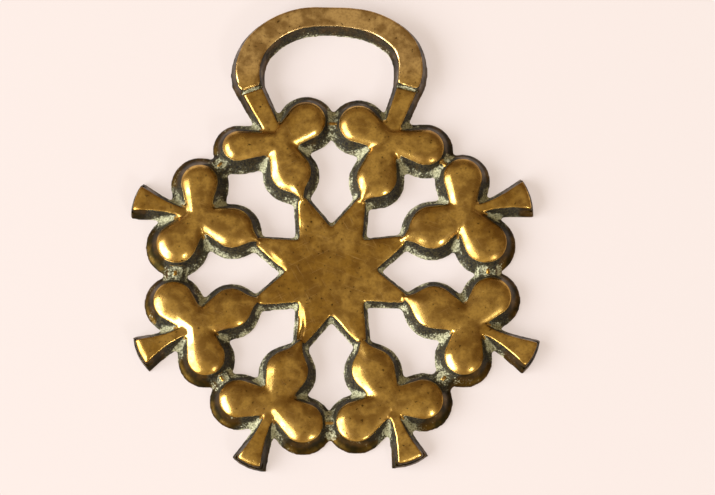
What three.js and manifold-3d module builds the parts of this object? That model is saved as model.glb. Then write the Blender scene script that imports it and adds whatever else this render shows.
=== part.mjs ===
// A horse brass: a flat pendant of cast brass that hung on a leather strap of a working horse's harness.
// One casting holds an eight-pointed star, a ring of eight club-shaped trefoils around it, and a strap
// loop that rises from the two upper clubs. It lies on its flat back, face up.
// Millimetres and degrees. +Z is up out of the face, +Y runs to the strap loop, and the origin is the
// centre of the star on the back. A turn is counted anticlockwise as seen from the face.
import * as THREE from 'three';
import { mergeVertices } from 'three/addons/utils/BufferGeometryUtils.js';
import Module from 'manifold-3d';

const wasm = await Module();
wasm.setup();

// The star.
const STAR_TIP_RADIUS = 16.0;
const STAR_NOTCH_RADIUS = 8.7;
const STAR_TIP_WIDTH = 1.3;
const STAR_THICKNESS = 2.7;

// The ring of clubs: the distance from the star's centre to the middle of each club.
const RING_RADIUS = 29.0;
const CLUB_MIDDLE_RADIUS = 2.1;

// A leaf is a domed teardrop, measured at the top of its wall. Sand-cast walls spread towards the back.
const LEAF_REACH = 7.1;
const LEAF_RADIUS = 3.9;
const LEAF_CROWN = 4.65;
const LEAF_WALL = 3.3;
const OUTER_LEAF_SPREAD = 2.05;
const INNER_LEAF_SPREAD = 1.7;

// A stem is a bar that flares out to a slightly rounded end.
const STEM_REACH = 12.6;
const STEM_WAIST = 0.8;
const STEM_FLARE = 3.0;
const STEM_THICKNESS = 3.5;
const STEM_SPREAD = 1.35;
const STEM_END_BULGE = 1.25;
const STEM_END_SPREAD = 0.4;

// The strap loop, between the points where it leaves the two upper clubs.
const LOOP_HALF_SPAN = 15.9;
const LOOP_FOOT = 38.6;
const LOOP_TOP = 53.05;
const LOOP_HALF_WIDTH = 1.95;
const LOOP_SHOULDER_WIDTH = 2.45;
const LOOP_END_WIDTH = 2.1;
const LOOP_THICKNESS = 3.9;
const STALK_THICKNESS = 3.3;
const STALK_HALF_WIDTH = 1.35;
const STALK_TOP_HALF_WIDTH = 2.05;
const STALK_OVERLAP = 1.2;

// The walls of the flat parts, and the thin webs and bridges at the back.
const WALL_SPREAD = 1.1;
const FOOT_LAND = 0.5;
const WEB_THICKNESS = 1.3;
const WEB_SPREAD = 0.9;
const WEB_STEM_REACH = 6.2;
const BRIDGE_HALF_WIDTH = 1.5;
const BRIDGE_THICKNESS = 1.9;

// The pattern was cut by hand, so no two clubs are alike. Each has its bearing from the star's centre,
// its distance out as a share of RING_RADIUS, and three leaves: left, inner and right. A leaf has its turn
// from the stem's outward line, its reach as a share of LEAF_REACH, its radius as a share of LEAF_RADIUS
// and, where it isn't 1, the spread of its wall as a share of the usual.
// A stem has its turn, its reach as a share of STEM_REACH and its flare as a share of STEM_FLARE. Where
// a club has none, it carries the foot of the strap loop at that share of the loop's length.
const CLUBS = [
  { bearing: 23.8, out: 1.0, leaves: [[67, 1.05, 1.0, 0.85], [181, 0.98, 1.14], [282, 1.04, 1.08]],
    stem: [-7, 1.0, 1.13] },
  { bearing: 67.4, out: 1.0, leaves: [[80, 0.94, 1.0], [188, 1.12, 1.03], [283, 1.12, 0.95]],
    loopFoot: 1 },
  { bearing: 111.7, out: 0.98, leaves: [[73, 1.16, 0.82], [180, 0.92, 1.05], [289, 1.01, 1.0]],
    loopFoot: 0 },
  { bearing: 157.7, out: 0.99, leaves: [[74, 0.97, 1.0, 1.2], [184, 1.01, 1.05], [291, 1.03, 0.92, 1.15]],
    stem: [4.2, 0.97, 1.0] },
  { bearing: 203.1, out: 0.995, leaves: [[83, 0.95, 0.95], [184, 1.06, 1.03], [291, 0.97, 1.0]],
    stem: [2.5, 0.91, 1.0] },
  { bearing: 248.0, out: 1.01, leaves: [[76, 0.96, 1.0], [182, 0.97, 1.06], [285, 1.04, 0.95]],
    stem: [-1.5, 0.95, 0.9] },
  { bearing: 293.3, out: 1.005, leaves: [[70, 0.95, 1.0], [183, 1.0, 1.08], [279, 1.07, 1.02]],
    stem: [-3.5, 0.91, 0.97] },
  { bearing: 338.8, out: 1.02, leaves: [[71.5, 0.95, 1.01], [178, 1.08, 1.1], [281, 0.99, 0.97]],
    stem: [-7, 1.03, 1.0] },
];

// How finely round forms are cut into facets.
const LEAF_SEGMENTS = 18;
const STEM_STEPS = 6;
const LOOP_STEPS = 36;
const EDGE_STEPS = 3;
const DOME_STEPS = [0.88, 0.7, 0.45];

// The forms' proportions.
const DOME_POWER = 3;
const MIDDLE_RISE = 0.85;
const TIP_HOLLOW = 1.5;
const STEM_WAIST_AT = 0.36;
const STEM_OVERRUN = 2;
const END_STEPS = [-0.7, -0.35, 0, 0.35, 0.7];
const LOOP_SWELL_POWER = 0.8;
const LOOP_TAPER_AT = 0.85;
const HOLLOW_OUT = 0.5;
const HOLLOW_UP = 0.3;
const HOLLOW_POWER = 7;

const WORN_BRASS = new THREE.MeshStandardMaterial({
  name: 'worn_brass',
  color: 0x9a7430,
  roughness: 0.35,
  metalness: 1,
});

function fromPolar(radius, degrees) {
  const angle = THREE.MathUtils.degToRad(degrees);
  return new THREE.Vector2(radius * Math.cos(angle), radius * Math.sin(angle));
}

// A closed geometry as a manifold solid, without the triangles that close up on a lathe's axis.
function solid(geometry) {
  geometry.deleteAttribute('normal');
  geometry.deleteAttribute('uv');
  const merged = mergeVertices(geometry, 1e-4);
  const corners = merged.index.array;
  const kept = [];
  for (let i = 0; i < corners.length; i += 3) {
    const [a, b, c] = corners.subarray(i, i + 3);
    if (a !== b && b !== c && c !== a) kept.push(a, b, c);
  }
  return new wasm.Manifold(new wasm.Mesh({
    numProp: 3,
    vertProperties: merged.attributes.position.array,
    triVerts: Uint32Array.from(kept),
  }));
}

// The rim, wall and dome of a leaf of this radius, from the back's middle round to the crown.
function leafProfile(radius, spread) {
  const dome = DOME_STEPS.map((share) => new THREE.Vector2(
    radius * share,
    LEAF_WALL + (LEAF_CROWN - LEAF_WALL) * (1 - share ** DOME_POWER),
  ));
  return [
    new THREE.Vector2(0, 0),
    new THREE.Vector2(radius + spread, 0),
    new THREE.Vector2(radius + spread, FOOT_LAND),
    new THREE.Vector2(radius + spread * HOLLOW_OUT, FOOT_LAND + (LEAF_WALL - FOOT_LAND) * HOLLOW_UP),
    new THREE.Vector2(radius, LEAF_WALL),
    ...dome,
    new THREE.Vector2(0, LEAF_CROWN),
  ];
}

// A domed teardrop: a turned dome at the leaf's place, drawn out to the middle of the club. Where it has
// a tip, its outer side is drawn to a point there too.
function teardrop(middle, leaf, spread, tip) {
  const profile = leafProfile(leaf.radius, spread * leaf.spread);
  const geometry = new THREE.LatheGeometry(profile, LEAF_SEGMENTS);
  geometry.rotateX(Math.PI / 2);
  const axis = leaf.at.clone().sub(middle);
  const tangent = Math.acos((CLUB_MIDDLE_RADIUS - leaf.radius) / axis.length());
  const toTip = (tip ?? leaf.at.clone().add(axis.clone().setLength(leaf.radius))).clone().sub(leaf.at);
  const tipTurn = Math.atan2(axis.cross(toTip), axis.dot(toTip));
  const tipHalfAngle = Math.acos(Math.min(leaf.radius / toTip.length(), 1));
  const places = geometry.attributes.position;
  for (let i = 0; i < places.count; i += 1) {
    const point = profile[i % profile.length];
    const turned = Math.floor(i / profile.length) * 2 * Math.PI / LEAF_SEGMENTS;
    const turn = turned > Math.PI ? turned - 2 * Math.PI : turned;
    const beyond = Math.max(point.x - leaf.radius, 0);
    if (Math.abs(turn) < tangent) {
      const direction = turn + tipTurn * Math.max(1 - Math.abs(turn) / (Math.PI / 2), 0);
      const drawnOut = 1 / Math.cos(Math.max(tipHalfAngle - Math.abs(direction - tipTurn), 0)) - 1;
      const furthest = Math.max(1 / Math.cos(tipHalfAngle) - 1, 1e-6);
      const pointed = 1 + furthest * (drawnOut / furthest) ** TIP_HOLLOW;
      const radius = Math.min(point.x, leaf.radius) * pointed + beyond;
      places.setXYZ(i, axis.length() + radius * Math.cos(direction), radius * Math.sin(direction), point.y);
    } else {
      const radius = Math.min(point.x / leaf.radius, 1) * CLUB_MIDDLE_RADIUS + beyond;
      const height = point.y > LEAF_WALL ? LEAF_WALL + (point.y - LEAF_WALL) * MIDDLE_RISE : point.y;
      places.setXYZ(i, radius * Math.cos(turn), radius * Math.sin(turn), height);
    }
  }
  geometry.rotateZ(axis.angle());
  geometry.translate(middle.x, middle.y, 0);
  return solid(geometry);
}

// A flat piece of this outline whose hollow walls fall away to a wider foot. Its back is flat.
function plate(shape, thickness, spread, steps = EDGE_STEPS) {
  const geometry = new THREE.ExtrudeGeometry(shape, {
    depth: FOOT_LAND,
    bevelThickness: thickness - FOOT_LAND,
    bevelSize: spread,
    bevelSegments: steps,
  });
  const wall = thickness - FOOT_LAND;
  const places = geometry.attributes.position;
  for (let i = 0; i < places.count; i += 1) {
    const height = places.getZ(i);
    const hollowed = FOOT_LAND + wall * ((height - FOOT_LAND) / wall) ** HOLLOW_POWER;
    places.setZ(i, height > FOOT_LAND ? hollowed : Math.max(height, 0));
  }
  return solid(geometry);
}

// The outline of a band along a centre line, with its half width at each share of its length. Its far end
// may bulge.
function bandShape(line, halfWidth, steps, bulge = 0) {
  const left = [];
  const right = [];
  for (let i = 0; i <= steps; i += 1) {
    const share = i / steps;
    const point = line.getPointAt(share);
    const across = line.getTangentAt(share).rotateAround(new THREE.Vector2(), Math.PI / 2);
    left.push(point.clone().addScaledVector(across, halfWidth(share)));
    right.push(point.clone().addScaledVector(across, -halfWidth(share)));
  }
  const onward = line.getTangentAt(1);
  const end = bulge === 0 ? [] : END_STEPS.map((aside) => new THREE.Vector2()
    .lerpVectors(right[steps], left[steps], (1 + aside) / 2)
    .addScaledVector(onward, bulge * (1 - aside ** 2)));
  return new THREE.Shape([...right, ...end, ...left.reverse()]);
}

// Where a club's middle and the middles of its three leaves are.
function clubPlaces(club) {
  const middle = fromPolar(RING_RADIUS * club.out, club.bearing);
  const leaves = club.leaves.map(([turn, reach, radius, spread = 1]) => ({
    at: middle.clone().add(fromPolar(LEAF_REACH * reach, club.bearing + turn)),
    radius: LEAF_RADIUS * radius,
    spread,
  }));
  return { middle, leaves };
}

// The strap loop's centre line, from its left foot over the top to its right foot.
function loopLine() {
  const rise = LOOP_TOP - LOOP_FOOT;
  const shares = [
    [-1.04, 0], [-1.07, 0.18], [-1.045, 0.365], [-0.965, 0.567], [-0.805, 0.755], [-0.6, 0.895],
    [-0.345, 0.985], [-0.06, 1], [0.225, 0.985], [0.487, 0.93], [0.724, 0.805], [0.918, 0.612],
    [1, 0.385], [1.01, 0.17], [0.98, 0],
  ];
  return new THREE.SplineCurve(
    shares.map(([across, up]) => new THREE.Vector2(LOOP_HALF_SPAN * across, LOOP_FOOT + rise * up)),
  );
}

// The end of a club's fourth limb: its own stem's flat end, or the foot of the strap loop that it carries.
function limbEnd(club, middle) {
  if (!club.stem) return loopLine().getPointAt(club.loopFoot);
  const [turn, reach] = club.stem;
  return middle.clone().add(fromPolar(STEM_REACH * reach, club.bearing + turn));
}

function stem(club, middle) {
  const outer = STEM_FLARE * club.stem[2];
  const halfWidth = (share) => {
    const past = Math.max(share - STEM_WAIST_AT, 0) / (1 - STEM_WAIST_AT);
    return STEM_WAIST + (outer - STEM_WAIST) * past ** 1.5;
  };
  const line = new THREE.LineCurve(middle, limbEnd(club, middle));
  const beyond = line.v2.clone().addScaledVector(line.getTangentAt(1), STEM_OVERRUN);
  const bar = bandShape(new THREE.LineCurve(middle, beyond), halfWidth, STEM_STEPS);
  const end = bandShape(line, () => outer + STEM_OVERRUN, 1, STEM_END_BULGE);
  return plate(bar, STEM_THICKNESS, STEM_SPREAD).intersect(plate(end, STEM_THICKNESS, STEM_END_SPREAD, 1));
}

// The stalk that carries a foot of the strap loop on an upper club. It runs on a little way under the loop.
function stalk(club, middle) {
  const end = limbEnd(club, middle);
  const line = new THREE.LineCurve(middle, end.clone().sub(middle).setLength(STALK_OVERLAP).add(end));
  const halfWidth = (share) => STALK_HALF_WIDTH + (STALK_TOP_HALF_WIDTH - STALK_HALF_WIDTH) * share;
  return plate(bandShape(line, halfWidth, 1), STALK_THICKNESS, WALL_SPREAD);
}

// The thin web in the crotch between two limbs of a club.
function web(middle, one, other) {
  const corners = [middle, one, other];
  if (THREE.ShapeUtils.area(corners) < 0) corners.reverse();
  return plate(new THREE.Shape(corners), WEB_THICKNESS, WEB_SPREAD, 1);
}

function clubSolids(club) {
  const { middle, leaves } = clubPlaces(club);
  const starTip = fromPolar(STAR_TIP_RADIUS - STAR_TIP_WIDTH / 2, club.bearing);
  const [left, inner, right] = leaves;
  const outward = limbEnd(club, middle).sub(middle).setLength(WEB_STEM_REACH).add(middle);
  const made = [
    teardrop(middle, left, OUTER_LEAF_SPREAD),
    teardrop(middle, inner, INNER_LEAF_SPREAD, starTip),
    teardrop(middle, right, OUTER_LEAF_SPREAD),
  ];
  made.push(web(middle, left.at, inner.at), web(middle, inner.at, right.at));
  made.push(web(middle, right.at, outward), web(middle, outward, left.at));
  made.push(club.stem ? stem(club, middle) : stalk(club, middle));
  return made;
}

// The low bridge where the leaves of two neighbouring clubs touch.
function bridge(club, next) {
  const from = clubPlaces(club).leaves[0].at;
  const to = clubPlaces(next).leaves[2].at;
  const band = bandShape(new THREE.LineCurve(from, to), () => BRIDGE_HALF_WIDTH, 1);
  return plate(band, BRIDGE_THICKNESS, WEB_SPREAD, 1);
}

function star() {
  const outline = CLUBS.flatMap((club, i) => {
    const next = CLUBS[(i + 1) % CLUBS.length];
    const between = (club.bearing + next.bearing + (next.bearing < club.bearing ? 360 : 0)) / 2;
    const tip = fromPolar(STAR_TIP_RADIUS, club.bearing);
    const aside = fromPolar(STAR_TIP_WIDTH / 2, club.bearing + 90);
    return [tip.clone().sub(aside), tip.add(aside), fromPolar(STAR_NOTCH_RADIUS, between)];
  });
  return plate(new THREE.Shape(outline), STAR_THICKNESS, WALL_SPREAD);
}

function strapLoop() {
  const halfWidth = (share) => {
    const fromTop = Math.abs(share - 0.5) * 2;
    const swollen = LOOP_HALF_WIDTH + (LOOP_SHOULDER_WIDTH - LOOP_HALF_WIDTH) * fromTop ** LOOP_SWELL_POWER;
    const ending = Math.max(fromTop - LOOP_TAPER_AT, 0) / (1 - LOOP_TAPER_AT);
    return swollen + (LOOP_END_WIDTH - swollen) * ending ** 2;
  };
  return plate(bandShape(loopLine(), halfWidth, LOOP_STEPS), LOOP_THICKNESS, WALL_SPREAD);
}

function buildCasting() {
  const pieces = [
    star(),
    strapLoop(),
    ...CLUBS.flatMap(clubSolids),
    ...CLUBS.map((club, i) => bridge(club, CLUBS[(i + 1) % CLUBS.length])),
  ];
  return pieces.reduce((whole, piece) => whole.add(piece));
}

function toGeometry(made) {
  const { numProp, vertProperties, triVerts } = made.getMesh();
  const properties = new THREE.InterleavedBuffer(vertProperties, numProp);
  const geometry = new THREE.BufferGeometry();
  geometry.setAttribute('position', new THREE.InterleavedBufferAttribute(properties, 3, 0));
  geometry.setIndex(new THREE.BufferAttribute(triVerts, 1));
  geometry.computeVertexNormals();
  return geometry;
}

const casting = new THREE.Mesh(toGeometry(buildCasting()), WORN_BRASS);
casting.name = 'brass_casting';

const horseBrass = new THREE.Group();
horseBrass.add(casting);

export default horseBrass;
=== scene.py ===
from math import acos, cos, pi, radians, sin, tan

import bpy
import numpy as np
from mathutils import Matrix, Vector, noise


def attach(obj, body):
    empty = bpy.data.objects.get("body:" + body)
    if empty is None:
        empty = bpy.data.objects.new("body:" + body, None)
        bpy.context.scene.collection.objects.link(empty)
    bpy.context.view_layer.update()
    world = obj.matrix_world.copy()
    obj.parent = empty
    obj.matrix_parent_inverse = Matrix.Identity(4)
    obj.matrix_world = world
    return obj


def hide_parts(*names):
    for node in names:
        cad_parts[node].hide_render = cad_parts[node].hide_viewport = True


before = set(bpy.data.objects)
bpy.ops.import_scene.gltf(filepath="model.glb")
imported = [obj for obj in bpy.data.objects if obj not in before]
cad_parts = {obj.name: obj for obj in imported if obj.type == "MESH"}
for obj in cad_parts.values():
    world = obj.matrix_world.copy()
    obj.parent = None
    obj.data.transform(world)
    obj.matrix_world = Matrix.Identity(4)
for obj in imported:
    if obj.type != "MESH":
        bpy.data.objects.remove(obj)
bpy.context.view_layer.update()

# The camera looks down on the brass from a little towards its lower end, as the photograph does. The brass
# lies face up, with the strap loop away from the camera. Lengths are in millimetres, and angles in degrees.
MM = 0.001
TILT = 15
DISTANCE = 650
TARGET = (5.3, 4.9, 2.0)
PIXELS_PER_MM = 5.0
PICTURE_WIDTH = 715
SENSOR_WIDTH = 36

camera_data = bpy.data.cameras.new("camera")
camera_data.sensor_width = SENSOR_WIDTH
camera_data.lens = SENSOR_WIDTH * PIXELS_PER_MM * DISTANCE / PICTURE_WIDTH
camera = bpy.data.objects.new("camera", camera_data)
camera.location = (
    TARGET[0] * MM,
    (TARGET[1] - DISTANCE * sin(radians(TILT))) * MM,
    (TARGET[2] + DISTANCE * cos(radians(TILT))) * MM,
)
camera.rotation_euler = (radians(TILT), 0, 0)
bpy.context.scene.collection.objects.link(camera)
bpy.context.scene.camera = camera

# The brass is one sand casting, made solid and finished on its face alone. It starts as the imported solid, whose
# leaves are cut in flat facets, so each leaf is first covered by a round one, of the sizes that the solid has.
casting_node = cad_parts["brass_casting"]
solid_points = np.array([v.co for v in casting_node.data.vertices]) / MM

LEAF_WALL = 3.3
FOOT_LAND = 0.5
HOLLOW_OUT, HOLLOW_UP = 0.5, 0.3
HOLLOW_HEIGHT = FOOT_LAND + (LEAF_WALL - FOOT_LAND) * HOLLOW_UP
DOME_POWER = 3
DOME_RINGS = 12
LEAF_SIDES = 72
MIDDLE_RISE = 0.85
MIDDLE_RADIUS = 2.1
LEAST_SPREAD, MOST_SPREAD = 1.2, 2.7
TIP_HOLLOW = 1.5
STAR_TIP = 15.35
INNER_BY = 5

crown = solid_points[:, 2].max()
middle_height = LEAF_WALL + (crown - LEAF_WALL) * MIDDLE_RISE


def places_at(height, slack=0.003):
    """The places, seen from above, of the solid's corners at this height."""
    found = solid_points[np.abs(solid_points[:, 2] - height) < slack][:, :2]
    return np.unique(np.round(found, 2), axis=0)


def deselect():
    if bpy.context.mode != "OBJECT":
        bpy.ops.object.mode_set(mode="OBJECT")
    bpy.ops.object.select_all(action="DESELECT")


def coordinates(mesh):
    flat = np.empty(len(mesh.vertices) * 3, np.float32)
    mesh.vertices.foreach_get("co", flat)
    return flat.reshape(-1, 3).astype(float)


def set_coordinates(mesh, places):
    mesh.vertices.foreach_set("co", places.astype(np.float32).ravel())
    mesh.update()


# A leaf's section is spun once about its middle: flat back, land at the foot, hollow wall and dome. Inside the
# crest a ring's distance is a share of the leaf's radius, and outside it a share of the spread.
section = [(0, 0), (1, 0), (2, 0), (2, FOOT_LAND), (1 + HOLLOW_OUT, HOLLOW_HEIGHT)]
for share in np.linspace(1, 0, DOME_RINGS):
    section.append((share, LEAF_WALL + (crown - LEAF_WALL) * (1 - share**DOME_POWER)))

deselect()
bpy.ops.mesh.primitive_circle_add(vertices=len(section), radius=1, location=(0, 0, 0))
leaf = bpy.context.active_object
for vertex, (across, height) in zip(leaf.data.vertices, section):
    vertex.co = (across, 0, height)
bpy.ops.object.mode_set(mode="EDIT")
bpy.ops.mesh.select_all(action="SELECT")
bpy.ops.mesh.spin(steps=LEAF_SIDES, angle=2 * pi, center=(0, 0, 0), axis=(0, 0, 1))
bpy.ops.mesh.select_all(action="SELECT")
bpy.ops.mesh.remove_doubles(threshold=1e-5)
bpy.ops.mesh.delete_loose()
bpy.ops.mesh.select_all(action="SELECT")
bpy.ops.mesh.normals_make_consistent(inside=False)
bpy.ops.object.mode_set(mode="OBJECT")
spun = coordinates(leaf.data)


def shaped_leaf(middle, centre, radius, spread, tip):
    """The spun leaf's corners, drawn out to the middle of its club and, where it has one, to its tip."""
    across = np.hypot(spun[:, 0], spun[:, 1])
    turn = np.arctan2(spun[:, 1], spun[:, 0])
    axis = centre - middle
    length = np.hypot(*axis)
    tangent = acos((MIDDLE_RADIUS - radius) / length)
    to_tip = tip - centre
    tip_turn = np.arctan2(axis[0] * to_tip[1] - axis[1] * to_tip[0], axis @ to_tip)
    tip_half = acos(min(radius / np.hypot(*to_tip), 1))
    direction = turn + tip_turn * np.maximum(1 - np.abs(turn) / (pi / 2), 0)
    drawn_out = 1 / np.cos(np.maximum(tip_half - np.abs(direction - tip_turn), 0)) - 1
    furthest = max(1 / cos(tip_half) - 1, 1e-6)
    pointed = 1 + furthest * (drawn_out / furthest) ** TIP_HOLLOW
    beyond = np.maximum(across - 1, 0) * spread
    share = np.minimum(across, 1)
    reach = share * radius * pointed + beyond
    height = spun[:, 2]
    outer = np.stack([length + reach * np.cos(direction), reach * np.sin(direction), height], axis=1)
    reach = share * MIDDLE_RADIUS + beyond
    lowered = np.where(height > LEAF_WALL, LEAF_WALL + (height - LEAF_WALL) * MIDDLE_RISE, height)
    inner = np.stack([reach * np.cos(turn), reach * np.sin(turn), lowered], axis=1)
    made = np.where((np.abs(turn) < tangent)[:, None], outer, inner)
    along = axis / length
    return np.stack([
        middle[0] + made[:, 0] * along[0] - made[:, 1] * along[1],
        middle[1] + made[:, 0] * along[1] + made[:, 1] * along[0],
        made[:, 2],
    ], axis=1)


# The solid's own corners give each leaf's middle, centre, radius and spread. The spread is the commonest of the
# distances from its crest to the knee of its wall.
middles = places_at(middle_height)
crest = places_at(LEAF_WALL)
wall_knee = places_at(HOLLOW_HEIGHT)
leaves = []
for centre in places_at(crown):
    middle = middles[np.argmin(np.hypot(*(middles - centre).T))]
    radius = np.hypot(*(crest - centre).T).min()
    to_knee = np.hypot(*(wall_knee - centre).T) - radius
    likely = (to_knee > LEAST_SPREAD * HOLLOW_OUT) & (to_knee < MOST_SPREAD * HOLLOW_OUT)
    found, times = np.unique(np.round(to_knee[likely], 2), return_counts=True)
    spread = found[times.argmax()] / HOLLOW_OUT
    is_inner = np.hypot(*centre) < np.hypot(*middle) - INNER_BY
    outward = (centre - middle) / np.hypot(*(centre - middle))
    tip = middle / np.hypot(*middle) * STAR_TIP if is_inner else centre + outward * radius
    leaves.append((middle, centre, radius, spread, tip))

copies = []
for shape in leaves:
    copy = leaf.copy()
    copy.data = leaf.data.copy()
    bpy.context.scene.collection.objects.link(copy)
    set_coordinates(copy.data, shaped_leaf(*shape) * MM)
    copies.append(copy)
bpy.data.objects.remove(leaf)

casting = casting_node.copy()
casting.data = casting_node.data.copy()
casting.parent = None
casting.name = "worn_casting"
bpy.context.scene.collection.objects.link(casting)
deselect()
casting.select_set(True)
bpy.context.view_layer.objects.active = casting
bpy.ops.object.mode_set(mode="EDIT")
bpy.ops.mesh.select_all(action="SELECT")
bpy.ops.mesh.remove_doubles(threshold=1e-7)
bpy.ops.object.mode_set(mode="OBJECT")
for copy in copies:
    copy.select_set(True)
bpy.ops.object.join()

# Sand casting rounds every edge, so the whole is skinned as one, and its edges are eased without shrinking it.
SKIN = 0.31
EASE_PASSES = 4
EASE_IN, EASE_OUT = 0.5, -0.2
BACK = 0.1


def corner_pairs(mesh):
    pairs = np.empty(len(mesh.edges) * 2, np.int32)
    mesh.edges.foreach_get("vertices", pairs)
    return pairs.reshape(-1, 2)


def neighbours_mean(values, pairs, passes=1):
    """Each corner's value, replaced with the mean of its neighbours' this many times."""
    count = np.bincount(pairs.ravel(), minlength=len(values))[:, None]
    for _ in range(passes):
        total = np.empty_like(values)
        for axis in range(values.shape[1]):
            total[:, axis] = np.bincount(pairs[:, 0], values[pairs[:, 1], axis], len(values))
            total[:, axis] += np.bincount(pairs[:, 1], values[pairs[:, 0], axis], len(values))
        values = total / count
    return values


skin = casting.modifiers.new("skin", "REMESH")
skin.mode = "VOXEL"
skin.voxel_size = SKIN * MM
bpy.ops.object.modifier_apply(modifier=skin.name)
pairs = corner_pairs(casting.data)
points = coordinates(casting.data) / MM
on_back = points[:, 2] < BACK
for _ in range(EASE_PASSES):
    for share in (EASE_IN, EASE_OUT):
        points += (neighbours_mean(points, pairs) - points) * share
        points[on_back, 2] = 0

# Wear has taken the fullness off the leaves, so they fall away more evenly from their middles to their crests.
# It has taken most off the lower clubs, which swing against the harness, and comes and goes in patches.
WORN_POWER = 2
WORN_BELOW, FULL_ABOVE = -4, 8
LEAST_POWER, MOST_POWER = 1.6, 3.8
WEAR_PATCH = 8
WEAR_CHANGE = 1.3
INSIDE_LOOP = 40


def smooth_step(low, high, value):
    share = np.clip((value - low) / (high - low), 0, 1)
    return share * share * (3 - 2 * share)


def field(size, seed):
    """Soft noise from -1 to 1 at each corner, for lumps about this many millimetres across."""
    shift = Vector((seed * 17.3, seed * 5.9, seed * 11.1))
    return np.array([noise.noise(Vector(point) / size + shift) for point in points])


fullness = np.clip((points[:, 2] - LEAF_WALL) / (crown - LEAF_WALL), 0, 1)
power = WORN_POWER + (DOME_POWER - WORN_POWER) * smooth_step(WORN_BELOW, FULL_ABOVE, points[:, 1])
power = np.clip(power + field(WEAR_PATCH, 4) * WEAR_CHANGE, LEAST_POWER, MOST_POWER)
worn_height = LEAF_WALL + (crown - LEAF_WALL) * (1 - (1 - fullness) ** (power / DOME_POWER))
on_leaf = (points[:, 2] > LEAF_WALL) & (np.hypot(points[:, 0], points[:, 1]) < INSIDE_LOOP)
points[on_leaf, 2] = worn_height[on_leaf]

# The star's edges are worn to slanting facets. FACETS has each one's width at its widest, and how far along the
# edge that is, as a share from its notch. They go round anticlockwise from the arm just above the right, each
# arm's clockwise edge first, and each narrows evenly to both ends.
STAR_THICKNESS = 2.7
STAR_NOTCH = 8.7
STAR_END = 16
STAR_END_WIDTH = 1.3
STAR_FADE = (1.6, 2.5)
STAR_SLACK = 0.35
FACETS = [
    (0.35, 0.5), (0.4, 0.5), (0.35, 0.5), (0.4, 0.5), (0.4, 0.5), (0.65, 0.35), (0.4, 0.5), (1.1, 0.4),
    (0.4, 0.5), (0.4, 0.5), (2.7, 0.8), (0.4, 0.5), (0.6, 0.65), (0.35, 0.5), (0.35, 0.5), (0.35, 0.5),
]
FACET_SLOPE = 0.55
FACET_POWER = 1.1
FACET_LEAST = 0.05
FACET_DEEPEST = 1.4
BEFORE_NOTCH = 0.03
OUTSIDE_EDGE = 0.7
WORN_PASSES = 2
FACET_EASE_PASSES = 3


def beside(one, other):
    """How far each corner is along the line between two places, as a share, and how far to its left."""
    line = other - one
    length = np.hypot(*line)
    away = points[:, :2] - one
    return away @ line / length**2, (away @ np.array([-line[1], line[0]])) / length


def towards(bearing, distance):
    return np.array([cos(bearing), sin(bearing)]) * distance


bearings = np.sort(np.arctan2(middles[:, 1], middles[:, 0]) % (2 * pi))
inside_star = np.hypot(points[:, 0], points[:, 1]) < STAR_END
below_leaves = points[:, 2] < STAR_THICKNESS + STAR_SLACK
star_top = inside_star * smooth_step(*STAR_FADE, points[:, 2]) * below_leaves
lowered_by = np.zeros(len(points))
for arm, bearing in enumerate(bearings):
    for side in (-1, 1):
        neighbour = bearings[(arm + side) % 8]
        between = bearing + ((neighbour - bearing + pi) % (2 * pi) - pi) / 2
        aside = towards(bearing + pi / 2, STAR_END_WIDTH / 2) * side
        along, inside = beside(towards(between, STAR_NOTCH), towards(bearing, STAR_END) + aside)
        inside = inside * side
        width, widest = FACETS[2 * arm + (side + 1) // 2]
        here = width * np.clip(np.minimum(along / widest, (1 - along) / (1 - widest)), FACET_LEAST, 1)
        slanted = np.clip(1 - inside / here, 0, FACET_DEEPEST) ** FACET_POWER
        depth = FACET_SLOPE * here / FACET_POWER * slanted
        near = (along > -BEFORE_NOTCH) & (along < 1) & (inside > -OUTSIDE_EDGE) & (inside < here)
        lowered_by = np.maximum(lowered_by, depth * near)
worn_off = neighbours_mean((lowered_by * star_top)[:, None], pairs, WORN_PASSES)[:, 0]
points[:, 2] -= worn_off
for _ in range(FACET_EASE_PASSES):
    for share in (EASE_IN, EASE_OUT):
        moved = (neighbours_mean(points, pairs) - points) * share
        points += moved * (inside_star & ~on_back)[:, None]

# A stem's face falls away a little towards its end, and so does the wall there.
STEM_THICKNESS = 3.5
STEM_FALL = 0.8
STEM_FALL_FROM = 2.6
STEM_FALL_MOST = 1.2
STEM_END_NEAR, STEM_END_FAR = 8, 18
STEM_START = 6
STEM_SIDE = 6
STEM_WALL_FROM = 2

for middle in middles:
    ends = places_at(STEM_THICKNESS) - middle
    ends = ends[(np.hypot(*ends.T) > STEM_END_NEAR) & (np.hypot(*ends.T) < STEM_END_FAR)]
    if len(ends) == 0:
        continue
    stem_way = ends.mean(axis=0) / np.hypot(*ends.mean(axis=0))
    along, aside = beside(middle, middle + stem_way)
    end = (ends @ stem_way).max()
    on_stem = (np.abs(aside) < STEM_SIDE) & (along > STEM_START) & (points[:, 2] > STEM_WALL_FROM)
    fallen = (along[on_stem] - end + STEM_FALL_FROM) / STEM_FALL_FROM
    points[on_stem, 2] -= STEM_FALL * np.clip(fallen, 0, STEM_FALL_MOST) ** 2

# The loop was a pattern of its own, let into the stalks: a slanting groove shows where each end of it stops.
# GROOVES has each side's slant, and how far the groove lies below the step in the solid.
LOOP_THICKNESS = 3.9
STALK_THICKNESS = 3.3
GROOVES = {-1: (21, 0.75), 1: (-15, 0.35)}
GROOVE_WIDTH = 0.45
GROOVE_DEPTH = 0.7
GROOVE_SHIFT = 0.35
GROOVE_REACH = 4
GROOVE_NEAR = 2.5
GROOVE_FADE = (2.2, 3.1)
STEP_SOFT = 0.2

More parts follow.
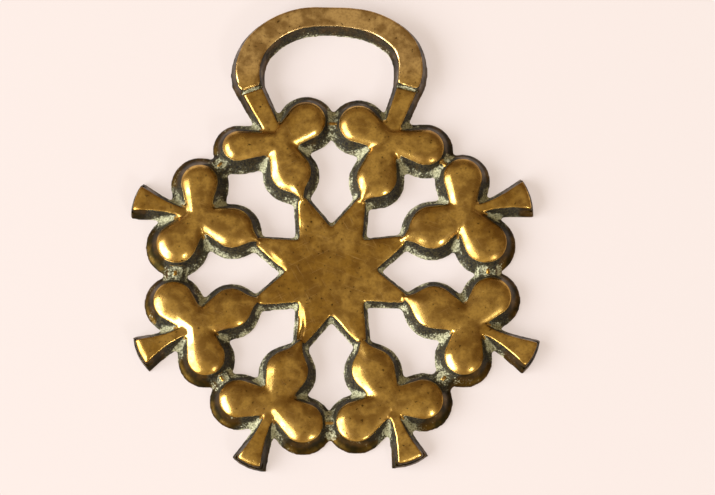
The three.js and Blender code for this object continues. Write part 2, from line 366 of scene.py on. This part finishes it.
groove = np.zeros(len(points))
loop_corners = places_at(LOOP_THICKNESS)
high_up = smooth_step(*GROOVE_FADE, points[:, 2])
for way, (slant, below) in GROOVES.items():
    corners = loop_corners[loop_corners[:, 0] * way > 0]
    step = corners[np.argsort(corners[:, 1])][:2].mean(axis=0)
    place = step - np.array([0, below])
    along, above = beside(place, place + towards(radians(slant), 1))
    near = (np.abs(along) < GROOVE_REACH) & (np.abs(above) < GROOVE_NEAR)
    raised = smooth_step(-STEP_SOFT, STEP_SOFT, above)
    raised -= smooth_step(-STEP_SOFT, STEP_SOFT, points[:, 1] - step[1])
    points[:, 2] += raised * near * high_up * (LOOP_THICKNESS - STALK_THICKNESS)
    points[near, 2] = np.minimum(points[near, 2], LOOP_THICKNESS)
    cut = np.clip(1 - ((above + GROOVE_SHIFT) / GROOVE_WIDTH) ** 2, 0, 1)
    groove = np.maximum(groove, cut * near)
points[:, 2] -= groove * high_up * GROOVE_DEPTH

# A lump of stray metal stands on each low bridge, where the leaves of two clubs all but touch.
LUMP_HEIGHT = 0.55
LUMP_RADIUS = 0.55
LUMP_SHIFT = 0.25
LUMP_FROM = 1.2
SAME_CLUB = 1

lumps = np.zeros(len(points))
outer_leaves = [one for one in leaves if np.hypot(*one[1]) > np.hypot(*one[0]) - INNER_BY]
for middle, centre, radius, *_ in outer_leaves:
    others = [one for one in outer_leaves if np.hypot(*(one[0] - middle)) > SAME_CLUB]
    _, other, other_radius, *_ = min(others, key=lambda one: np.hypot(*(one[1] - centre)))
    gap = np.hypot(*(other - centre))
    way = (other - centre) / gap
    spot = centre + way * (gap + radius - other_radius) / 2 + LUMP_SHIFT * way
    away = np.hypot(*(points[:, :2] - spot).T)
    lumps = np.maximum(lumps, np.clip(1 - (away / LUMP_RADIUS) ** 2, 0, 1))
lumps *= points[:, 2] > LUMP_FROM
points[:, 2] += lumps * LUMP_HEIGHT
points[on_back, 2] = 0
set_coordinates(casting.data, points * MM)

# Years of rubbing with a cloth keep the raised faces bright, and never reach the walls. A wall that faces
# another part of the casting stays damp, and grows rough and green. Each point's share comes from the form round
# it, and each pair of numbers is where a share begins and where it is full.
POLISH_TURN = (0.48, 0.7)
POLISH_RISE = (2.1, 2.4)
GROOVE_DIRT = (0.2, 0.6)
LUMP_RUBBED = (0.3, 0.7)
LUMP_POLISH = 0.75
MARGIN = 25
CELL = 0.5
LEAST_SLANT = 0.05
FACING_REACHES = [2.5, 4, 6, 8, 10, 12, 14, 18, 22]
SOFTEN_PASSES = 12
HOLLOW_PASSES = 32
LEDGE_TURN = (0.7, 0.9)
LEDGE_RISE = (0.9, 1.1)
LEDGE_BELOW = 2.65
LEDGE_PASSES = 4
LEDGE_HOLLOW = 0.3


def corner_normals(mesh):
    flat = np.empty(len(mesh.vertices) * 3, np.float32)
    mesh.vertex_normals.foreach_get("vector", flat)
    return flat.reshape(-1, 3).astype(float)


normals = corner_normals(casting.data)
facing_up = neighbours_mean(normals[:, 2:], pairs)[:, 0]
polish = smooth_step(*POLISH_TURN, facing_up) * smooth_step(*POLISH_RISE, points[:, 2] + worn_off)
polish *= 1 - smooth_step(*GROOVE_DIRT, groove)
polish = np.maximum(polish, smooth_step(*LUMP_RUBBED, lumps) * LUMP_POLISH)
hollow = ((neighbours_mean(points, pairs, HOLLOW_PASSES) - points) * normals).sum(axis=1)
ledge = smooth_step(*LEDGE_TURN, facing_up) * smooth_step(*LEDGE_RISE, points[:, 2])
ledge *= points[:, 2] < LEDGE_BELOW
hollow = np.maximum(hollow, neighbours_mean(ledge[:, None], pairs, LEDGE_PASSES)[:, 0] * LEDGE_HOLLOW)

low = points[:, :2].min(axis=0) - MARGIN
cells = ((points[:, :2] - low) / CELL).astype(int)
filled = np.zeros(cells.max(axis=0) + int(MARGIN / CELL))
filled[cells[:, 0], cells[:, 1]] = 1
outward = normals[:, :2] / np.maximum(np.hypot(*normals[:, :2].T), LEAST_SLANT)[:, None]
shelter = np.zeros(len(points))
for reach in FACING_REACHES:
    seen = ((points[:, :2] + outward * reach - low) / CELL).astype(int)
    shelter += filled[seen[:, 0], seen[:, 1]] / len(FACING_REACHES)
shelter = neighbours_mean(shelter[:, None], pairs, SOFTEN_PASSES)[:, 0]

# Sand leaves grain of two sizes on the sheltered walls, and less of it on the open ones. Hand finishing leaves
# the faces very slightly uneven.
FACE_LUMP = 4.5
FACE_DEPTH = 0.04
GRAIN, COARSE_GRAIN = 0.75, 1.95
GRAIN_DEPTH = 0.065
GRAIN_IN_OPEN = 0.15
GRAIN_FADE = (0.1, 0.6)

uneven = field(FACE_LUMP, 1) * FACE_DEPTH * polish
grain = (field(GRAIN, 2) + field(COARSE_GRAIN, 3)) * GRAIN_DEPTH * (1 - polish) * (GRAIN_IN_OPEN + shelter)
moved = (uneven + grain) * smooth_step(*GRAIN_FADE, points[:, 2])
points += normals * moved[:, None]
points[:, 2] = np.clip(points[:, 2], 0, crown)
set_coordinates(casting.data, points * MM)

for name, values in (("polish", polish), ("hollow", hollow), ("shelter", shelter)):
    attribute = casting.data.attributes.new(name, "FLOAT", "POINT")
    attribute.data.foreach_set("value", values.astype(np.float32))

# The back lay on the flat of the mould: its faces are taken away and the outline is filled flat.
FLAT = 0.999
UNDER = 0.02

deselect()
casting.select_set(True)
bpy.context.view_layer.objects.active = casting
bpy.ops.object.mode_set(mode="EDIT")
bpy.ops.mesh.select_mode(type="FACE")
bpy.ops.mesh.select_all(action="DESELECT")
bpy.ops.object.mode_set(mode="OBJECT")
for face in casting.data.polygons:
    face.select = face.normal.z < -FLAT and face.center.z < UNDER * MM
bpy.ops.object.mode_set(mode="EDIT")
bpy.ops.mesh.delete(type="FACE")
bpy.ops.mesh.select_mode(type="EDGE")
bpy.ops.mesh.select_all(action="DESELECT")
bpy.ops.mesh.select_non_manifold()
bpy.ops.mesh.fill(use_beauty=True)
bpy.ops.mesh.select_all(action="SELECT")
bpy.ops.mesh.normals_make_consistent(inside=False)
bpy.ops.object.mode_set(mode="OBJECT")
bpy.ops.object.shade_smooth()
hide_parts("brass_casting")
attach(casting, "root")


# Cast brass, rubbed bright on the face: it mirrors what is round it in a warm brown gold, with tarnish coming
# and going in soft clouds. The walls are oxidised to a dark brown, and the corners hold pale green verdigris.
def colour(value):
    """A hex colour as the screen shows it, turned linear."""
    parts = [int(value[i:i + 2], 16) / 255 for i in (1, 3, 5)]
    return (*[part / 12.92 if part <= 0.04045 else ((part + 0.055) / 1.055) ** 2.4 for part in parts], 1)


def add_node(tree, kind, links=(), output=0, **settings):
    """Adds a node with its settings, sets or links its sockets, and gives the output asked for."""
    node = tree.nodes.new("ShaderNode" + kind)
    for name, value in settings.items():
        setattr(node, name, value)
    for socket, source in dict(links).items():
        if isinstance(source, bpy.types.NodeSocket):
            tree.links.new(source, node.inputs[socket])
        else:
            node.inputs[socket].default_value = source
    return node.outputs[output] if len(node.outputs) else None


# The sizes of the patterns in millimetres, then the scratches, the colours and the finishes. In a MapRange, the
# sockets 1 and 2 are the range taken and 3 and 4 the range given. In a Mix of colours, 0 is the share of the
# second, and 6 and 7 are the two.
CLOUD = 7
MOTTLE = 2.4
FLECK = 0.5
SPECK = 0.6
GRIT = 0.36
SCRATCHES = [(28, 0.13, 7, 5), (-62, 0.13, 5, 9), (-20, 0.12, 6, 14)]
BURNISHED, RUBBED, HANDLED = colour("#d6ad58"), colour("#b48a3b"), colour("#efc985")
BROWNED, PITTED = colour("#805a25"), colour("#43300f")
OUTER_BROWN, OUTER_DARK = colour("#4f3912"), colour("#28200b")
INNER_DARK, INNER_OLIVE = colour("#1a1409"), colour("#4c4324")
CRUST_DARK, CRUST_PALE = colour("#5f5a38"), colour("#c4be90")
HANDLED_FROM, HANDLED_FULL = 36, 44
FACE_ROUGHNESS, OUTER_ROUGHNESS, INNER_ROUGHNESS = 0.19, 0.36, 0.6
CRUST_ROUGHER = 0.4
INNER_METALLIC = 0.6
BUMP_DEPTH = 0.25
BUMP_STRENGTH = 0.8
SMOOTH = {"interpolation_type": "SMOOTHSTEP"}
BLEND = {"data_type": "RGBA", "output": 2}

worn_brass = bpy.data.materials.new("rubbed_cast_brass")
worn_brass.use_nodes = True
tree = worn_brass.node_tree
tree.nodes.clear()
place = add_node(tree, "TexCoord", output="Object")
place = add_node(tree, "Mapping", {"Vector": place, "Scale": (1 / MM, 1 / MM, 1 / MM)})
polished = add_node(tree, "Attribute", attribute_name="polish", output="Fac")
hollowed = add_node(tree, "Attribute", attribute_name="hollow", output="Fac")
sheltered = add_node(tree, "Attribute", attribute_name="shelter", output="Fac")
height = add_node(tree, "SeparateXYZ", {0: place}, output="Z")
far = add_node(tree, "SeparateXYZ", {0: place}, output="Y")

# The rubbed faces are brighter the higher they stand, and on the loop, which is handled most. Over them lies a
# film of tarnish in clouds, spots and pits.
tarnish = add_node(tree, "TexNoise", {"Vector": place, "Scale": 1 / CLOUD, "Detail": 5, "Roughness": 0.62})
mottle = add_node(tree, "TexNoise", {"Vector": place, "Scale": 1 / MOTTLE, "Detail": 3, "Roughness": 0.5})
fleck = add_node(tree, "TexNoise", {"Vector": place, "Scale": 1 / FLECK, "Detail": 2, "Roughness": 0.5})
speck = add_node(tree, "TexNoise", {"Vector": place, "Scale": 1 / SPECK, "Detail": 1, "Roughness": 0.4})
specks = add_node(tree, "MapRange", {0: speck, 1: 0.71, 2: 0.77, 3: 0, 4: 0.8}, **SMOOTH)
raised = add_node(tree, "MapRange", {0: height, 1: STAR_THICKNESS, 2: LOOP_THICKNESS, 3: 0, 4: 0.14})
share = add_node(tree, "Math", {0: tarnish, 1: raised}, operation="ADD")
share = add_node(tree, "MapRange", {0: share, 1: 0.4, 2: 0.66}, **SMOOTH)
face = add_node(tree, "Mix", {0: share, 6: RUBBED, 7: BURNISHED}, **BLEND)
share = add_node(tree, "MapRange", {0: far, 1: HANDLED_FROM, 2: HANDLED_FULL, 3: 0, 4: 0.85}, **SMOOTH)
face = add_node(tree, "Mix", {0: share, 6: face, 7: HANDLED}, **BLEND)
share = add_node(tree, "MapRange", {0: mottle, 1: 0.36, 2: 0.66, 3: 0.04, 4: 0.74}, **SMOOTH)
face = add_node(tree, "Mix", {0: share, 6: face, 7: BROWNED}, **BLEND)
share = add_node(tree, "MapRange", {0: fleck, 1: 0.4, 2: 0.72, 3: 0, 4: 0.3}, **SMOOTH)
face = add_node(tree, "Mix", {0: share, 6: face, 7: BROWNED}, **BLEND)
face = add_node(tree, "Mix", {0: specks, 6: face, 7: PITTED}, **BLEND)

# A few fine scratches cross the low star, and show less on the rest. Each set has its turn, width, length and
# shift. They are drawn coarser than real ones, which no picture would show.
low_face = add_node(tree, "MapRange", {0: height, 1: 2.8, 2: 3.1, 3: 0.42, 4: 0.22})
for turn, width, length, shift in SCRATCHES:
    scratched = add_node(tree, "Mapping", {
        "Vector": place, "Location": (0, 0, shift),
        "Rotation": (0, 0, radians(turn)), "Scale": (length, width, 1),
    }, vector_type="TEXTURE")
    scratch = add_node(tree, "TexNoise", {"Vector": scratched, "Scale": 1, "Detail": 1, "Roughness": 0.4})
    scratch = add_node(tree, "MapRange", {0: scratch, 1: 0.7, 2: 0.76}, **SMOOTH)
    scratch = add_node(tree, "Math", {0: scratch, 1: low_face}, operation="MULTIPLY")
    face = add_node(tree, "Mix", {0: scratch, 6: face, 7: HANDLED}, **BLEND)

# The open walls are smooth and dark. The shut-in ones are black and olive grit.
grit = add_node(tree, "TexNoise", {"Vector": place, "Scale": 1 / GRIT, "Detail": 3, "Roughness": 0.65})
share = add_node(tree, "MapRange", {0: mottle, 1: 0.35, 2: 0.65}, **SMOOTH)
outer_wall = add_node(tree, "Mix", {0: share, 6: OUTER_BROWN, 7: OUTER_DARK}, **BLEND)
gritty = add_node(tree, "MapRange", {0: grit, 1: 0.42, 2: 0.62}, **SMOOTH)
inner_wall = add_node(tree, "Mix", {0: gritty, 6: INNER_DARK, 7: INNER_OLIVE}, **BLEND)
shut_in = add_node(tree, "Math", {0: mottle, 1: 0.5, 2: sheltered}, operation="MULTIPLY_ADD")
shut_in = add_node(tree, "MapRange", {0: shut_in, 1: 0.34, 2: 0.62}, **SMOOTH)
wall = add_node(tree, "Mix", {0: shut_in, 6: outer_wall, 7: inner_wall}, **BLEND)
gritty = add_node(tree, "MapRange", {0: grit, 1: 0.35, 2: 0.7}, **SMOOTH)
crust = add_node(tree, "Mix", {0: gritty, 6: CRUST_PALE, 7: CRUST_DARK}, **BLEND)

# The cloth's reach ends in a soft, uneven line.
edge = add_node(tree, "MapRange", {0: mottle, 1: 0.3, 2: 0.7, 3: -0.14, 4: 0.14})
rubbed = add_node(tree, "Math", {0: polished, 1: edge}, operation="ADD")
rubbed = add_node(tree, "MapRange", {0: rubbed, 1: 0.34, 2: 0.66}, **SMOOTH)
unrubbed = add_node(tree, "Math", {0: 1, 1: rubbed}, operation="SUBTRACT")

# The pale green crust grows where it stays damp: low on the shut-in walls, and in hollows and corners.
low_down = add_node(tree, "MapRange", {0: height, 1: 0.1, 2: 1.9, 3: 0.66, 4: 0})
damp = add_node(tree, "Math", {0: shut_in, 1: low_down}, operation="MULTIPLY")
cornered = add_node(tree, "MapRange", {0: hollowed, 1: -0.02, 2: 0.4, 3: 0, 4: 0.95})
damp = add_node(tree, "Math", {0: damp, 1: cornered}, operation="ADD")
patch = add_node(tree, "MapRange", {0: grit, 1: 0.32, 2: 0.68, 3: 0.34, 4: -0.34})
damp = add_node(tree, "Math", {0: damp, 1: patch}, operation="ADD")
patch = add_node(tree, "MapRange", {0: mottle, 1: 0.3, 2: 0.7, 3: 0.3, 4: -0.3})
damp = add_node(tree, "Math", {0: damp, 1: patch}, operation="ADD")
green = add_node(tree, "MapRange", {0: damp, 1: 0.36, 2: 0.86}, **SMOOTH)
green = add_node(tree, "Math", {0: green, 1: unrubbed}, operation="MULTIPLY")

surface = add_node(tree, "Mix", {0: rubbed, 6: wall, 7: face}, **BLEND)
surface = add_node(tree, "Mix", {0: green, 6: surface, 7: crust}, **BLEND)
roughness = add_node(tree, "MapRange", {0: shut_in, 3: OUTER_ROUGHNESS, 4: INNER_ROUGHNESS})
roughness = add_node(tree, "Mix", {0: rubbed, 2: roughness, 3: FACE_ROUGHNESS}, data_type="FLOAT")
uneven_gloss = add_node(tree, "MapRange", {0: mottle, 1: 0.35, 2: 0.7, 3: -0.02, 4: 0.15})
roughness = add_node(tree, "Math", {0: roughness, 1: uneven_gloss}, operation="ADD")
roughness = add_node(tree, "Math", {0: green, 1: CRUST_ROUGHER, 2: roughness}, operation="MULTIPLY_ADD")
metallic = add_node(tree, "MapRange", {0: shut_in, 3: 1, 4: INNER_METALLIC})
metallic = add_node(tree, "Math", {0: metallic, 1: rubbed}, operation="MAXIMUM")
metallic = add_node(tree, "Math", {0: metallic, 1: green}, operation="SUBTRACT", use_clamp=True)

rough_wall = add_node(tree, "Math", {0: shut_in, 1: unrubbed}, operation="MULTIPLY")
relief = add_node(tree, "Math", {0: grit, 1: rough_wall}, operation="MULTIPLY")
relief = add_node(tree, "Math", {0: specks, 1: -0.08, 2: relief}, operation="MULTIPLY_ADD")
relief = add_node(tree, "Math", {0: fleck, 1: 0.03, 2: relief}, operation="MULTIPLY_ADD")
bump = add_node(tree, "Bump", {"Height": relief, "Distance": BUMP_DEPTH * MM, "Strength": BUMP_STRENGTH})
shader = add_node(tree, "BsdfPrincipled", {
    "Base Color": surface, "Metallic": metallic, "Roughness": roughness, "Normal": bump,
})
add_node(tree, "OutputMaterial", {"Surface": shader})
casting.data.materials.clear()
casting.data.materials.append(worn_brass)

# The brass lies on a plain pale board, which glows a little, so that the shadows on it stay faint.
FLOOR_SIZE = 3
FLOOR_DROP = 0.05
FLOOR_GLOW = 0.56

deselect()
bpy.ops.mesh.primitive_plane_add(size=FLOOR_SIZE, location=(0, 0, -FLOOR_DROP * MM))
floor = bpy.context.active_object
floor.name = "floor"
board = bpy.data.materials.new("pale_board")
board.use_nodes = True
board_shader = board.node_tree.nodes["Principled BSDF"]
board_shader.inputs["Base Color"].default_value = colour("#948d84")
board_shader.inputs["Emission Color"].default_value = colour("#ffede4")
board_shader.inputs["Emission Strength"].default_value = FLOOR_GLOW
board_shader.inputs["Roughness"].default_value = 0.9
board_shader.inputs["Specular IOR Level"].default_value = 0.1
floor.data.materials.append(board)

# The room is dim and warm above the brass, and darker beyond its top. A wide window stands to the left of the
# camera, and a small one to its right.
ROOM_NEAR, ROOM_FAR, ROOM_ABOVE = colour("#e7dac8"), colour("#95816c"), colour("#c1b3a0")

world = bpy.context.scene.world or bpy.data.worlds.new("world")
bpy.context.scene.world = world
world.use_nodes = True
sky = world.node_tree
way = add_node(sky, "TexCoord", output="Generated")
across, far, up = (add_node(sky, "SeparateXYZ", {0: way}, output=axis) for axis in "XYZ")
share = add_node(sky, "Math", {0: across, 1: 0.6, 2: far}, operation="MULTIPLY_ADD")
share = add_node(sky, "MapRange", {0: share, 1: -0.6, 2: 0.7}, **SMOOTH)
level = add_node(sky, "Mix", {0: share, 6: ROOM_NEAR, 7: ROOM_FAR}, **BLEND)
share = add_node(sky, "MapRange", {0: up, 1: 0.4, 2: 0.97}, **SMOOTH)
room = add_node(sky, "Mix", {0: share, 6: level, 7: ROOM_ABOVE}, **BLEND)
sky.links.new(room, sky.nodes["Background"].inputs["Color"])


def soft_light(name, azimuth, elevation, distance, wide, high, radiance, tint):
    """A soft light at angles in degrees and a distance in metres. Azimuth 0 is to the brass's right."""
    light_data = bpy.data.lights.new(name, "AREA")
    light_data.shape = "RECTANGLE"
    light_data.size = 2 * distance * tan(radians(wide / 2))
    light_data.size_y = 2 * distance * tan(radians(high / 2))
    light_data.energy = radiance * pi * light_data.size * light_data.size_y
    light_data.color = tint[:3]
    light = bpy.data.objects.new(name, light_data)
    flat = distance * cos(radians(elevation))
    height = distance * sin(radians(elevation))
    light.location = (flat * cos(radians(azimuth)), flat * sin(radians(azimuth)), height)
    light.rotation_euler = (-light.location).to_track_quat("-Z", "Y").to_euler()
    bpy.context.scene.collection.objects.link(light)


soft_light("window_left", 198, 30, distance=3, wide=60, high=30, radiance=13.64, tint=colour("#e0e8ff"))
soft_light("window_right", 306, 31, distance=3, wide=9, high=9, radiance=31.2, tint=colour("#e3ebff"))
bpy.context.scene.view_settings.view_transform = "Standard"
